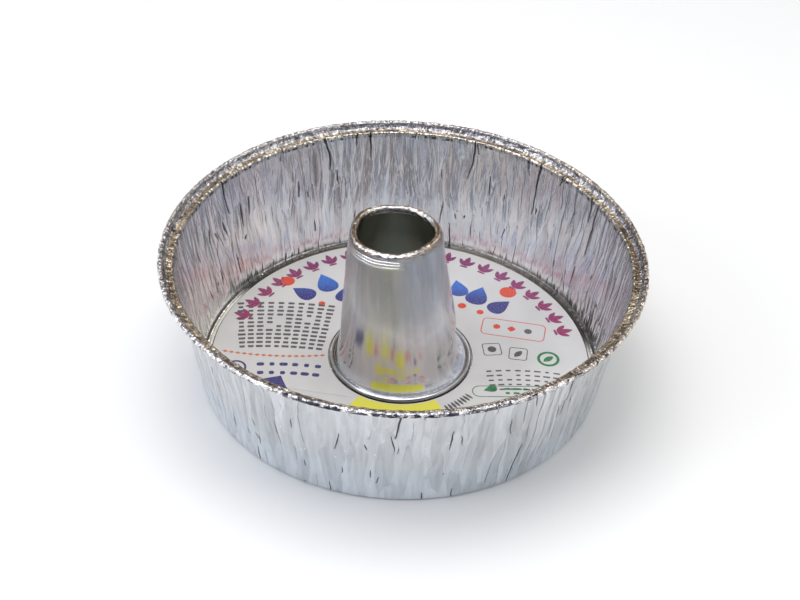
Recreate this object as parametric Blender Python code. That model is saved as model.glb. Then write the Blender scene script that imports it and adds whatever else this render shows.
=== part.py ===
# Disposable foil ring cake pan: a drawn foil pan, a tapered centre tube crimped into its
# floor, and a loose round card that lies on the floor around the tube.
# Metres, +Z up. The origin is the centre of the underside, on the surface the pan stands on.

import math

import bmesh
import bpy
from mathutils import Vector

# Sheet and fits
FOIL_GAUGE = 0.0001
FIT_GAP = 0.0003

# Pan: heights are above the underside, radii are from the centre line
PAN_HEIGHT = 0.0723
RIM_RADIUS = 0.1230
MOUTH_RADIUS = 0.1149
FOOT_RADIUS = 0.1050
FOOT_FILLET = 0.0020
MOUTH_FILLET = 0.0012

# Rim: a narrow flange that ends in an outward rolled curl
CURL_RADIUS = 0.0017
CURL_TURN = 270.0
FLANGE_DROP = 0.0044
FLANGE_RISE = 0.0009
UPSTAND_FILLET = 0.0007

# Stiffening ridge pressed into the floor near its edge
RIDGE_INSET = 0.0031
RIDGE_WIDTH = 0.0020
RIDGE_HEIGHT = 0.0008

# Pleats that drawing leaves in the wall
PLEAT_COUNT = 42
PLEAT_DEPTH = 0.0014
PLEAT_FADE = 0.0120

# Seam: the pan's turned-up hole edge is rolled outward and the tube's foot closes over it
SEAM_RADIUS = 0.0378
SEAM_ROLL = 0.0014
SEAM_HEIGHT = 0.0024
SEAM_TUCK = 0.0008
COLLAR_FILLET = 0.0004

# Centre tube
TUBE_HEIGHT = 0.0834
TUBE_TOP_RADIUS = 0.0232
TUBE_TAPER = 0.117
TUBE_LIP_RADIUS = 0.0022
TUBE_LIP_TURN = 225.0
TUBE_FLARE_HEIGHT = 0.0120
TUBE_FLARE_FILLET = 0.0400
TUBE_VALLEY_FILLET = 0.0006
TUBE_VALLEY_DEPTH = 0.0008
TUBE_LEAN = 0.0042

# Label card
CARD_THICKNESS = 0.0004
CARD_EDGE_CLEARANCE = 0.0006
CARD_HOLE_CLEARANCE = 0.0008

# Facets around the centre line, and along the bends
PAN_SEGMENTS = 2 * PLEAT_COUNT
TUBE_SEGMENTS = 48
CARD_SEGMENTS = 84
WALL_ROWS = 3
TUBE_ROWS = 3
CURL_STEPS = 9
LIP_STEPS = 10

# Heights and radii that follow from the sizes above
SHEET_SPACING = FOIL_GAUGE + FIT_GAP
FLOOR_LEVEL = FOIL_GAUGE / 2
FLOOR_TOP = FOIL_GAUGE
ROLL_OUTER = SEAM_ROLL - FOIL_GAUGE / 2
ROLL_INNER = ROLL_OUTER - SHEET_SPACING
ROLL_CENTRE = Vector((SEAM_RADIUS - SEAM_ROLL, SEAM_HEIGHT - SEAM_ROLL))
RIDGE_RADIUS = FOOT_RADIUS - RIDGE_INSET
CARD_RADIUS = RIDGE_RADIUS - RIDGE_WIDTH / 2 - CARD_EDGE_CLEARANCE
CARD_HOLE_RADIUS = SEAM_RADIUS + CARD_HOLE_CLEARANCE


def clear_scene():
    for item in list(bpy.data.objects):
        bpy.data.objects.remove(item, do_unlink=True)


def make_material(name, colour, roughness, metallic):
    material = bpy.data.materials.new(name)
    material.use_nodes = True
    shader = material.node_tree.nodes["Principled BSDF"]
    shader.inputs["Base Color"].default_value = (*colour, 1.0)
    shader.inputs["Roughness"].default_value = roughness
    shader.inputs["Metallic"].default_value = metallic
    return material


def arc(centre, radius, start, turn, steps):
    # Points on a circle in the (radius, height) plane, angles in degrees
    points = []
    for step in range(steps + 1):
        angle = math.radians(start + turn * step / steps)
        points.append(centre + radius * Vector((math.cos(angle), math.sin(angle))))
    return points


def rounded(corners, steps):
    # A path through (point, fillet) corners; a fillet is limited by the runs beside it,
    # and two fillets on one run share it
    path = [corners[0][0]]
    for index in range(1, len(corners) - 1):
        before, fillet_before = corners[index - 1]
        point, fillet = corners[index]
        after, fillet_after = corners[index + 1]
        into = (point - before).normalized()
        out = (after - point).normalized()
        half_turn = into.angle(out) / 2
        reach_before = (point - before).length * (0.48 if fillet_before else 0.96)
        reach_after = (after - point).length * (0.48 if fillet_after else 0.96)
        tangent = min(fillet * math.tan(half_turn), reach_before, reach_after)
        if tangent < FOIL_GAUGE / 4:
            path.append(point)
            continue
        side = 1.0 if into.cross(out) > 0 else -1.0
        radius = tangent / math.tan(half_turn)
        first = point - into * tangent
        centre = first + Vector((-into.y, into.x)) * side * radius
        start = math.degrees(math.atan2(first.y - centre.y, first.x - centre.x))
        path += arc(centre, radius, start, side * math.degrees(2 * half_turn), steps)
    path.append(corners[-1][0])
    return path


def even_rows(start, end, count):
    # Points between two ends, without the ends
    return [start.lerp(end, row / (count + 1)) for row in range(1, count + 1)]


def sheet_outline(path):
    # The closed outline of foil whose middle follows the path
    right_side = []
    left_side = []
    for index, point in enumerate(path):
        before = path[max(index - 1, 0)]
        after = path[min(index + 1, len(path) - 1)]
        into = (point - before).normalized() if index else (after - point).normalized()
        out = (after - point).normalized() if index < len(path) - 1 else into
        along = (into + out).normalized()
        mitre = FOIL_GAUGE / 2 / max(along.dot(into), 0.5)
        normal = Vector((along.y, -along.x)) * mitre
        right_side.append(point + normal)
        left_side.append(point - normal)
    return right_side + left_side[::-1]


def turn_outline(name, outline, segments, warp, material):
    # Spins a closed outline about Z, warps its points and makes an object of it
    shape = bmesh.new()
    ring = [shape.verts.new((point.x, 0.0, point.y)) for point in outline]
    edges = [shape.edges.new((ring[i - 1], ring[i])) for i in range(len(ring))]
    bmesh.ops.spin(shape, geom=ring + edges, cent=(0, 0, 0), axis=(0, 0, 1),
                   angle=2 * math.pi, steps=segments, use_merge=True)
    for vert in shape.verts:
        warp(vert)
    # Both sides of the foil are cut along the same diagonals, or they would cross in the pleats
    bmesh.ops.triangulate(shape, faces=shape.faces, quad_method="SHORT_EDGE")
    bmesh.ops.recalc_face_normals(shape, faces=shape.faces)
    mesh = bpy.data.meshes.new(name)
    shape.to_mesh(mesh)
    shape.free()
    mesh.shade_smooth()
    mesh.set_sharp_from_angle(angle=math.radians(50))
    mesh.materials.append(material)
    part = bpy.data.objects.new(name, mesh)
    bpy.context.scene.collection.objects.link(part)
    return part


def smooth_step(value, low, high):
    share = min(max((value - low) / (high - low), 0.0), 1.0)
    return share * share * (3 - 2 * share)


def keep_round(vert):
    return vert


def pan_path():
    # Middle of the foil from the rolled hole edge, across the floor and up to the rim curl
    collar_radius = ROLL_CENTRE.x - ROLL_INNER
    path = arc(ROLL_CENTRE, ROLL_INNER, 0.0, 180.0, 4)
    wall_foot = Vector((FOOT_RADIUS, FLOOR_LEVEL))
    flange_height = PAN_HEIGHT - FLANGE_DROP - FOIL_GAUGE / 2
    mouth = Vector((MOUTH_RADIUS, flange_height))
    curl_middle = CURL_RADIUS - FOIL_GAUGE / 2
    curl_centre = Vector((RIM_RADIUS - CURL_RADIUS, PAN_HEIGHT - CURL_RADIUS))
    upstand = Vector((curl_centre.x - curl_middle, flange_height + FLANGE_RISE))
    ridge_start = Vector((RIDGE_RADIUS - RIDGE_WIDTH / 2, FLOOR_LEVEL))
    ridge_end = Vector((RIDGE_RADIUS + RIDGE_WIDTH / 2, FLOOR_LEVEL))
    ridge_top = Vector((RIDGE_RADIUS, FLOOR_LEVEL + RIDGE_HEIGHT))
    hole_edge = [
        (path[-1], 0.0),
        (Vector((collar_radius, FLOOR_LEVEL)), COLLAR_FILLET),
        (ridge_start, 0.0),
    ]
    path += rounded(hole_edge, 2)[1:]
    path.append(ridge_top)
    foot = rounded([(ridge_end, 0.0), (wall_foot, FOOT_FILLET), (mouth, 0.0)], 3)
    path += foot[:-1]
    path += even_rows(path[-1], mouth, WALL_ROWS)
    curl = arc(curl_centre, curl_middle, 180.0, -CURL_TURN, CURL_STEPS)
    rim = [
        (path[-1], 0.0),
        (mouth, MOUTH_FILLET),
        (upstand, UPSTAND_FILLET),
        (curl[0], 0.0),
    ]
    path += rounded(rim, 2)[1:-1]
    return path + curl


def pleat_wall(vert):
    # Moves wall points in and out by turns; the floor and the rim stay round
    step = round(math.atan2(vert.co.y, vert.co.x) / (2 * math.pi) * PAN_SEGMENTS)
    foot = smooth_step(vert.co.z, FOOT_FILLET, FOOT_FILLET + PLEAT_FADE)
    mouth_height = PAN_HEIGHT - FLANGE_DROP
    mouth = 1.0 - smooth_step(vert.co.z, mouth_height - PLEAT_FADE, mouth_height)
    strength = 0.65 + 0.35 * math.sin(step * 2.3) * math.cos(step * 0.7)
    side = 1.0 if step % 2 == 0 else -1.0
    shift = side * strength * foot * mouth * PLEAT_DEPTH / 2
    radius = math.hypot(vert.co.x, vert.co.y)
    if radius > FOOT_RADIUS - FOOT_FILLET:
        vert.co.x *= 1.0 + shift / radius
        vert.co.y *= 1.0 + shift / radius


def make_pan(material):
    return turn_outline("pan_shell", sheet_outline(pan_path()), PAN_SEGMENTS,
                        pleat_wall, material)


def tube_path():
    # Middle of the foil from the inward rolled lip, down the taper, out along the flared
    # foot and over the seam
    lip_middle = TUBE_LIP_RADIUS - FOIL_GAUGE / 2
    lip_centre = Vector((TUBE_TOP_RADIUS - TUBE_LIP_RADIUS, TUBE_HEIGHT - TUBE_LIP_RADIUS))
    path = arc(lip_centre, lip_middle, TUBE_LIP_TURN, -TUBE_LIP_TURN, LIP_STEPS)
    roll = arc(ROLL_CENTRE, ROLL_OUTER, 125.0, -125.0, 4)
    valley_height = SEAM_HEIGHT - TUBE_VALLEY_DEPTH
    valley_radius = ROLL_CENTRE.x - SEAM_ROLL
    flare_radius = path[-1].x + TUBE_TAPER * (path[-1].y - TUBE_FLARE_HEIGHT)
    flare_start = Vector((flare_radius, TUBE_FLARE_HEIGHT))
    taper_run = even_rows(path[-1], flare_start, TUBE_ROWS)
    tuck_height = FLOOR_TOP + FIT_GAP + FOIL_GAUGE / 2
    corners = [
        (taper_run[-1], 0.0),
        (flare_start, TUBE_FLARE_FILLET),
        (Vector((valley_radius, valley_height)), TUBE_VALLEY_FILLET),
        (roll[0], 0.0),
    ]
    path += taper_run[:-1]
    path += rounded(corners, 3)[:-1]
    path += roll
    path.append(Vector((roll[-1].x, tuck_height)))
    path.append(Vector((roll[-1].x - SEAM_TUCK, tuck_height)))
    return path


def lean_tube(vert):
    # The soft tube stands a little askew above its seam
    share = (vert.co.z - SEAM_HEIGHT) / (TUBE_HEIGHT - SEAM_HEIGHT)
    vert.co.x -= TUBE_LEAN * max(share, 0.0)


def make_tube(material):
    return turn_outline("centre_tube", sheet_outline(tube_path()), TUBE_SEGMENTS,
                        lean_tube, material)


def make_card(material):
    outline = [
        Vector((CARD_HOLE_RADIUS, 0.0)),
        Vector((CARD_RADIUS, 0.0)),
        Vector((CARD_RADIUS, CARD_THICKNESS)),
        Vector((CARD_HOLE_RADIUS, CARD_THICKNESS)),
    ]
    card = turn_outline("label_card", outline, CARD_SEGMENTS, keep_round, material)
    card.location = (0.0, 0.0, FLOOR_TOP + FIT_GAP)
    return card


def main():
    clear_scene()
    pan_foil = make_material("pan foil", (0.78, 0.79, 0.81), 0.28, 1.0)
    tube_foil = make_material("tube foil", (0.76, 0.77, 0.80), 0.22, 1.0)
    card_stock = make_material("card stock", (0.86, 0.86, 0.85), 0.60, 0.0)
    make_pan(pan_foil)
    make_tube(tube_foil)
    make_card(card_stock)


main()
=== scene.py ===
import math

import bmesh
import bpy
import numpy as np
from mathutils import Matrix, Vector


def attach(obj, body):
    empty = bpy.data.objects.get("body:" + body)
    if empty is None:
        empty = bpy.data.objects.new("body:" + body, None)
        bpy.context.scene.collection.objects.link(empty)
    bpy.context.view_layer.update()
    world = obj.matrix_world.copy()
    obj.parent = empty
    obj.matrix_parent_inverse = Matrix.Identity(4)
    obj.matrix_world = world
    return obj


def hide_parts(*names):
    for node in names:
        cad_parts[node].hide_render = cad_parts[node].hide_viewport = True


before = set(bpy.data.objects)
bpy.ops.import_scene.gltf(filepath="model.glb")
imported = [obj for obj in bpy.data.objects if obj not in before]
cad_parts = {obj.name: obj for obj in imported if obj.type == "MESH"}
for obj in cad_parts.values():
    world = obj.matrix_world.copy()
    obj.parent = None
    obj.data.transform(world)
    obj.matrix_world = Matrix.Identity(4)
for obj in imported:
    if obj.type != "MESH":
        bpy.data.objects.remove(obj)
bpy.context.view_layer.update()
print("frame loaded:", ", ".join(sorted(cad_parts)))


# a Wire is a value in a node tree, and arithmetic on it adds Math nodes

class Wire:
    def __init__(self, tree, socket):
        self.tree = tree
        self.socket = socket

    def calc(self, operation, *others):
        return self.tree.add("ShaderNodeMath", {"operation": operation}, [self, *others])

    def vec(self, operation, *others):
        return self.tree.add("ShaderNodeVectorMath", {"operation": operation}, [self, *others])

    def other(self, name):
        # another output of the same node
        return Wire(self.tree, self.socket.node.outputs[name])

    def parts(self):
        split = self.tree.add("ShaderNodeSeparateXYZ", None, [self])
        return split, split.other("Y"), split.other("Z")

    def scaled(self, factor):
        values = {0: self, "Scale": factor}
        return self.tree.add("ShaderNodeVectorMath", {"operation": "SCALE"}, values)

    def size(self):
        return self.calc("ABSOLUTE")

    def __add__(self, other):
        return self.calc("ADD", other)

    def __sub__(self, other):
        return self.calc("SUBTRACT", other)

    def __rsub__(self, other):
        return self.tree.add("ShaderNodeMath", {"operation": "SUBTRACT"}, [other, self])

    def __mul__(self, other):
        return self.calc("MULTIPLY", other)

    def __truediv__(self, other):
        return self.calc("DIVIDE", other)

    __radd__, __rmul__ = __add__, __mul__


class NodeBook:
    def __init__(self, tree):
        self.tree = tree

    def add(self, kind, settings=None, values=(), output=0):
        # one node: its settings first, then the values or links of its sockets
        node = self.tree.nodes.new(kind)
        for name, value in (settings or {}).items():
            setattr(node, name, value)
        pairs = values.items() if isinstance(values, dict) else enumerate(values)
        for key, value in pairs:
            socket = node.inputs[key]
            if isinstance(value, Wire):
                self.tree.links.new(value.socket, socket)
            else:
                socket.default_value = value
        return Wire(self, node.outputs[output])

    def end(self, kind, values, output):
        # the tree's last node, and the output that it feeds
        last = self.add(kind, None, values)
        self.tree.links.new(last.socket, self.tree.nodes.new(output).inputs[0])

    def sheetPlace(self):
        return self.attribute("sheet", "FLOAT_VECTOR")

    def attribute(self, name, kind="FLOAT"):
        if self.tree.bl_idname == "GeometryNodeTree":
            named = {"Name": name}
            return self.add("GeometryNodeInputNamedAttribute", {"data_type": kind}, named)
        wanted = "Vector" if kind == "FLOAT_VECTOR" else "Fac"
        return self.add("ShaderNodeAttribute", {"attribute_name": name}, output=wanted)

    def noise(self, vector, *size, scale=1.0, detail=1.0, roughness=0.5, output="Fac"):
        vector = self.sized(vector, *size)
        values = {"Vector": vector, "Scale": scale, "Detail": detail, "Roughness": roughness}
        return self.add("ShaderNodeTexNoise", None, values, output)

    def cells(self, vector, *size, feature="F1", output="Distance"):
        values = {"Vector": self.sized(vector, *size), "Scale": 1.0, "Randomness": 1.0}
        return self.add("ShaderNodeTexVoronoi", {"feature": feature}, values, output)

    def sized(self, vector, pitch=None, stretch=1.0):
        # shrinks the coordinates so that one unit is a pitch wide and a stretched pitch tall
        if pitch is None:
            return vector
        flat = (pitch, pitch, pitch * stretch)
        return vector.vec("DIVIDE", self.vector(*flat) if isinstance(pitch, Wire) else flat)

    def nearest(self, grain, pitch, stretch, spread):
        # the nearest cell of a stretched pattern wrapped round the sheet: how far aside and how far
        # up its middle lies, both in metres, and its own three random numbers
        here = self.sized(grain, pitch, stretch)
        cell = self.cells(here, output="Position")
        aside = here.vec("CROSS_PRODUCT", cell).parts()[2] * (pitch * pitch / spread)
        up = (here.parts()[2] - cell.parts()[2]) * (pitch * stretch)
        return aside, up, cell.other("Color").parts()

    def vector(self, x=0.0, y=0.0, z=0.0):
        return self.add("ShaderNodeCombineXYZ", None, [x, y, z])

    def bump(self, height):
        values = {"Strength": 1.0, "Distance": 1.0, "Height": height}
        return self.add("ShaderNodeBump", None, values)

    def ramp(self, value, low, high, start=0.0, end=1.0):
        values = {"Value": value, "From Min": low, "From Max": high, "To Min": start, "To Max": end}
        return self.add("ShaderNodeMapRange", {"interpolation_type": "SMOOTHSTEP"}, values)

    def fade(self, value, low, high):
        return self.ramp(value, low, high, 1.0, 0.0)

    def blend(self, factor, first, second, mode="MIX"):
        # colours go through a Mix node; three plain numbers are a colour too
        first, second = ((*c, 1.0) if isinstance(c, tuple) else c for c in (first, second))
        settings = {"data_type": "RGBA", "blend_type": mode}
        return self.add("ShaderNodeMix", settings, {0: factor, 6: first, 7: second}, 2)


def placeNew(name, data):
    item = bpy.data.objects.new(name, data)
    bpy.context.scene.collection.objects.link(item)
    return item


def geometryTree(name, inputs):
    # a new geometry tree; inputs has the names of its inputs by kind, and every run sets them all
    group = bpy.data.node_groups.new(name, "GeometryNodeTree")
    group.interface.new_socket("Geometry", in_out="INPUT", socket_type="NodeSocketGeometry")
    for kind, labels in {**inputs, "Material": ["Material"]}.items():
        for label in labels:
            group.interface.new_socket(label, in_out="INPUT", socket_type="NodeSocket" + kind)
    group.interface.new_socket("Geometry", in_out="OUTPUT", socket_type="NodeSocketGeometry")
    book = NodeBook(group)
    source = group.nodes.new("NodeGroupInput")
    wires = {socket.name: Wire(book, socket) for socket in source.outputs if socket.name}
    return book, wires, group


def endTree(book, geometry, material):
    # every tree ends in Realize Instances and Set Material
    solid = book.add("GeometryNodeRealizeInstances", None, {"Geometry": geometry})
    painted = {"Geometry": solid, "Material": material}
    book.end("GeometryNodeSetMaterial", painted, "NodeGroupOutput")


def runTree(piece, group, values):
    # sets the inputs by identifier, evaluates once and keeps the plain mesh
    modifier = piece.modifiers.new(group.name, "NODES")
    modifier.node_group = group
    for item in group.interface.items_tree:
        if item.in_out == "INPUT" and item.name in values:
            modifier[item.identifier] = values[item.name]
    graph = bpy.context.evaluated_depsgraph_get()
    graph.update()
    mesh = bpy.data.meshes.new_from_object(piece.evaluated_get(graph), depsgraph=graph)
    piece.modifiers.clear()
    old = piece.data
    piece.data = mesh
    bpy.data.meshes.remove(old)
    mesh.name = piece.name


# foil profiles are rows of (radius, height) along the middle of the sheet

def circle(angles):
    return np.column_stack([np.cos(angles), np.sin(angles)])


def bendRun(centre, radius, start, turn, steps):
    angles = np.radians(start + turn * np.linspace(0, 1, steps + 1))
    return np.array(centre) + radius * circle(angles)


def straightRun(first, last, steps):
    share = np.linspace(0, 1, steps + 1)[:, None]
    return np.asarray(first) * (1 - share) + np.asarray(last) * share


def cornerRun(before, corner, after, fillet, steps):
    # the rounded corner between two straight runs
    before, corner, after = (np.asarray(p, float) for p in (before, corner, after))
    into = (corner - before) / np.linalg.norm(corner - before)
    out = (after - corner) / np.linalg.norm(after - corner)
    turn = math.atan2(into[0] * out[1] - into[1] * out[0], float(into @ out))
    first = corner - into * fillet * math.tan(abs(turn) / 2)
    centre = first + np.array([-into[1], into[0]]) * math.copysign(fillet, turn)
    start = math.degrees(math.atan2(first[1] - centre[1], first[0] - centre[0]))
    return bendRun(centre, fillet, start, math.degrees(turn), steps)


def joinRuns(runs):
    # strings the runs together and drops doubled points; also returns each run's end
    path = [runs[0][0]]
    ends = []
    for run in runs:
        for point in run:
            if np.linalg.norm(point - path[-1]) > 1e-6:
                path.append(point)
        ends.append(len(path) - 1)
    return np.array(path), ends


def lengthAlong(path):
    steps = np.linalg.norm(np.diff(path, axis=0), axis=1)
    return np.concatenate([[0], np.cumsum(steps)])


def smooth(value, low, high):
    # 0 at low and 1 at high, whichever of the two is larger
    share = np.clip((value - low) / (high - low), 0, 1)
    return share * share * (3 - 2 * share)


def nearAngle(places, middle, width):
    # 1 at an angle in degrees round the centre line, fading to 0 on both sides of it
    away = np.arctan2(places[:, 1], places[:, 0]) - math.radians(middle)
    away = (away + math.pi) % (2 * math.pi) - math.pi
    return np.exp(-(away / math.radians(width)) ** 2)


def turnFoil(name, path, arcLength, segments, gauge, shares, warp=None, spread=0.110,
             within=(0.0, 1.0)):
    # both faces of the sheet, turned about Z, with the attributes that the crumple tree reads
    step = np.gradient(path, axis=0)
    step /= np.linalg.norm(step, axis=1)[:, None]
    normal = np.column_stack([step[:, 1], -step[:, 0]])
    ring = np.vstack([path + normal * gauge / 2, (path - normal * gauge / 2)[::-1]])
    count = len(ring)
    lift = np.vstack([normal, normal[::-1]])
    along = np.concatenate([arcLength, arcLength[::-1]])
    angle = np.linspace(0, 2 * math.pi, segments, endpoint=False)
    cos, sin = np.cos(angle)[:, None], np.sin(angle)[:, None]

    def turned(radial, upward):
        upward = np.broadcast_to(upward, (segments, count))
        return np.stack([cos * radial, sin * radial, upward], -1).reshape(-1, 3)

    places = turned(*ring.T)
    if warp:
        places = warp(places)
    lifts = turned(*lift.T)
    sheet = turned(np.full(count, spread), along)
    here = np.arange(segments)[:, None] * count
    there = np.roll(here, -1, axis=0)
    row = np.arange(count)
    following = np.roll(row, -1)
    corners = [here + row, there + row, there + following, here + following]
    faces = np.stack(corners, -1).reshape(-1, 4)
    mesh = bpy.data.meshes.new(name)
    mesh.from_pydata(places, [], faces)
    mesh.polygons.foreach_set("use_smooth", np.ones(len(faces), bool))
    for label, values in (("lift", lifts), ("sheet", sheet)):
        store = mesh.attributes.new(label, "FLOAT_VECTOR", "POINT")
        store.data.foreach_set("vector", values.ravel())
    onRing = {label: np.concatenate([values, values[::-1]]) for label, values in shares.items()}
    onRing["within"] = np.repeat(within, count // 2)
    for label, values in onRing.items():
        store = mesh.attributes.new(label, "FLOAT", "POINT")
        store.data.foreach_set("value", np.tile(values, segments))
    mesh.update()
    return placeNew(name, mesh)


def readThrees(rows, label, kind=np.float32):
    values = np.empty(len(rows) * 3, kind)
    rows.foreach_get(label, values)
    return values.reshape(-1, 3)


def faceOutward(piece):
    # turns the mesh over if its volume comes out negative, and keeps thin edges crisp
    mesh = piece.data
    mesh.calc_loop_triangles()
    corners = readThrees(mesh.loop_triangles, "vertices", np.int32)
    triangles = readThrees(mesh.vertices, "co")[corners].astype(float)
    volume = (triangles[:, 0] * np.cross(triangles[:, 1], triangles[:, 2])).sum()
    if volume < 0:
        mesh.flip_normals()
    mesh.set_sharp_from_angle(angle=math.radians(72))


# shut folds are thin upright strokes, one to a cell at most; the crumple tree presses them into
# the foil and the finish draws them as dark lines of painted shade
foldSets = {
    "long": {"pitch": 0.0125, "stretch": 5.2, "slant": 0.12, "reach": (0.009, 0.026),
             "share": 0.34, "width": 0.00056},
    "short": {"pitch": 0.0070, "stretch": 3.6, "slant": 0.16, "reach": (0.002, 0.008),
              "share": 0.20, "width": 0.00038},
    "kinks": {"pitch": 0.0060, "stretch": 1.6, "slant": 0.60, "reach": (0.0008, 0.0022),
              "share": 0.02, "width": 0.00050},
}


def foldStroke(book, grain, fold, spread):
    # distance to the stroke in metres, and how strong it is there
    aside, up, (first, second, third) = book.nearest(grain, fold["pitch"], fold["stretch"], spread)
    kinks = book.noise(grain.vec("MULTIPLY", (40.0, 40.0, 150.0))) - 0.5
    distance = aside - up * ((first - 0.5) * (2 * fold["slant"])) + kinks * 0.0014
    distance = distance.size()
    short, far = fold["reach"]
    fading = 1.0 - up.size() / (second * (far - short) + short)
    chosen = book.ramp(third, 1.0 - fold["share"], 1.005 - fold["share"])
    return distance, fading.calc("MAXIMUM", 0.0) * chosen


def crumpleTree(crumple, spread):
    # moves both faces of the foil alike
    book, wires, group = geometryTree("foilCrumple", {"Float": crumple})
    sheet = book.sheetPlace()
    lift = book.attribute("lift", "FLOAT_VECTOR")
    seeded = sheet.vec("ADD", book.vector(z=wires["Seed"]))

    # lines wander sideways as they run up the wall
    drift = seeded.vec("MULTIPLY", (1.0, 1.0, 0.7))
    drift = book.noise(drift, scale=30.0, detail=2.0, output="Color")
    drift = drift.vec("SUBTRACT", (0.5, 0.5, 0.5)).scaled(wires["Wander"] * 2.0)
    grain = seeded.vec("ADD", drift)

    pleats = book.noise(grain, wires["Pleat Pitch"], 5.0, roughness=0.4)
    facets = book.cells(grain, wires["Facet Pitch"], wires["Facet Stretch"])
    fine = book.cells(grain, wires["Fine Pitch"], 9.0)
    distance, strength = foldStroke(book, grain, foldSets["long"], spread)
    fold = book.fade(distance / wires["Fold Width"], 0.0, 1.0) * book.ramp(strength, 0.0, 0.4)

    depth = (pleats - 0.5) * 2.0 * wires["Pleat Depth"]
    depth = depth + (facets - 0.45) * 1.6 * wires["Facet Depth"]
    depth = depth + (fine - 0.45) * 1.6 * wires["Fine Depth"]
    depth = (depth + fold * wires["Fold Depth"]) * book.attribute("wallShare")
    scallops = book.noise(grain, wires["Lip Pitch"], 3.0)
    depth = depth + (scallops - 0.5) * 2.0 * wires["Lip Depth"] * book.attribute("lipShare")
    crush = book.cells(grain, wires["Rim Pitch"], 0.8)
    pucker = book.noise(grain, wires["Rim Pitch"], 4.0)
    crushed = (crush * 0.9 + pucker * 0.6) * wires["Rim Depth"]
    depth = depth + crushed * book.attribute("rimShare")

    # dimples only rise from the floor, so the pan still stands on the table, and only go inwards on
    # the tube
    place = book.add("GeometryNodeInputPosition")
    dimples = book.noise(place, wires["Floor Pitch"], detail=2.0)
    depth = depth - dimples * wires["Floor Depth"] * book.attribute("floorShare")

    moved = book.add("GeometryNodeSetPosition", None,
                     {"Geometry": wires["Geometry"], "Offset": lift.scaled(depth)})
    kept = book.add("GeometryNodeStoreNamedAttribute", {"data_type": "FLOAT_VECTOR"},
                    {"Geometry": moved, "Name": "grain", "Value": grain})
    endTree(book, kept, wires["Material"])
    return group


# the looks of each stretch of foil; a pair is for the side that faces the batter, then the other
# side; facets, fine and streaks are pitch, stretch, and tilt or depth
foilCommon = {
    "roughness": 0.24, "spread": 0.110, "border": 0.2, "wobble": 0.0003,
    "toneParts": (0.8, 0.9, 1.7), "tilt": (1.0, 1.0), "folds": (), "paintedGlints": 0.0,
}
foilLooks = {
    "wall": {
        "colour": (0.775, 0.785, 0.805), "outside": (0.63, 0.645, 0.665),
        "shade": (0.03, 0.03, 0.04), "roughness": 0.22, "border": 0.16, "wobble": 0.0019,
        "facets": (0.0044, 7.5, 0.15), "fine": (0.0019, 8.0, 0.10),
        "streaks": (0.0012, 8.0, 0.00007), "toneParts": (1.0, 0.6, 0.5),
        "contrast": (0.195, 0.26), "tilt": (0.92, 1.0), "folds": foldSets.values(),
        "paintedGlints": 0.010, "gap": (0.26, 0.22, 0.17), "low": ((0.70, 0.745, 0.79), 0.004, 0.040),
        "glow": ((0.97, 0.91, 0.85), -0.098, -0.060, 0.024, 0.055),
        "footReflection": ((1.0, 0.97, 0.95), 0.002, 0.013), "calm": (0.035, 0.080, 0.68, 0.08),
    },
    "flange": {
        "colour": (0.465, 0.46, 0.485), "outside": (0.60, 0.60, 0.60), "shade": (0.09, 0.08, 0.08),
        "facets": (0.0016, 1.6, 0.22), "fine": (0.0007, 1.8, 0.26),
        "streaks": (0.0011, 3.5, 0.00012), "contrast": (0.72, 0.3), "paintedGlints": 0.03,
        "gap": (0.24, 0.19, 0.14), "brim": ((0.27, 0.21, 0.15), (0.50, 0.42, 0.32)),
        "grey": ((0.26, 0.235, 0.21), -0.095, -0.050),
        "lines": {"pitch": 0.0046, "stretch": 0.13, "depth": 0.00035, "contrast": 1.6},
    },
    "curl": {
        "colour": (0.60, 0.58, 0.60), "outside": (0.66, 0.66, 0.68), "shade": (0.045, 0.045, 0.08),
        "roughness": 0.18, "facets": (0.0015, 2.2, 0.28), "fine": (0.0007, 2.2, 0.28),
        "streaks": (0.0011, 3.5, 0.00014), "contrast": (0.80, 0.80), "paintedGlints": 0.03,
        "gap": (0.36, 0.30, 0.25), "brownReflection": ((0.47, 0.405, 0.335), 0.055, 0.095),
        "lines": {"pitch": 0.0046, "stretch": 0.13, "depth": 0.00030, "contrast": 1.2},
        "blocks": {"pitch": 0.0021, "stretch": 2.2, "tilt": 0.36, "contrast": 2.4, "shadow": 1.0,
                   "colour": (0.80, 0.80, 0.83)},
        "dusk": {"colour": (0.022, 0.025, 0.045), "angle": 268, "reach": 0.89, "pitch": 0.0030,
                 "level": 0.42},
    },
    "floor": {
        "colour": (0.62, 0.62, 0.62), "outside": (0.70, 0.70, 0.70), "shade": (0.10, 0.10, 0.10),
        "border": 0.3, "wobble": 0.001, "facets": (0.0060, 2.0, 0.05), "fine": (0.0025, 2.0, 0.02),
        "streaks": (0.0016, 5.0, 0.00005), "toneParts": (1.0, 0.4, 0.8), "contrast": (0.15, 0.15),
    },
    "tube": {
        # the bore's colour is darkened: painted shade inside the tube
        "colour": (0.35, 0.355, 0.305), "outside": (0.645, 0.665, 0.705),
        "shade": (0.08, 0.08, 0.08), "spread": 0.028, "border": 0.6, "wobble": 0.0008,
        "facets": (0.0050, 7.0, 0.03), "fine": (0.0017, 12.0, 0.035),
        "streaks": (0.0011, 18.0, 0.00004), "toneParts": (0.7, 0.7, 1.0),
        "contrast": (0.03, 0.12), "tilt": (0.2, 1.0), "polish": (0.008, 0.050, -0.13),
        "lip": (0.40, 0.315, 0.255), "sides": (0.92, 1.17), "seam": (0.15, 0.135, 0.12),
        "waist": ((0.52, 0.49, 0.49), 0.0045, 0.0105, 0.018, 0.052),
        "lines": {"pitch": 0.0050, "stretch": 0.12, "depth": 0.00035, "contrast": 1.9},
        "bead": {"angle": 236.0, "reach": 0.80, "heights": (0.0792, 0.0778, 0.0763),
                 "width": 0.00035},
    },
}
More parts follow.
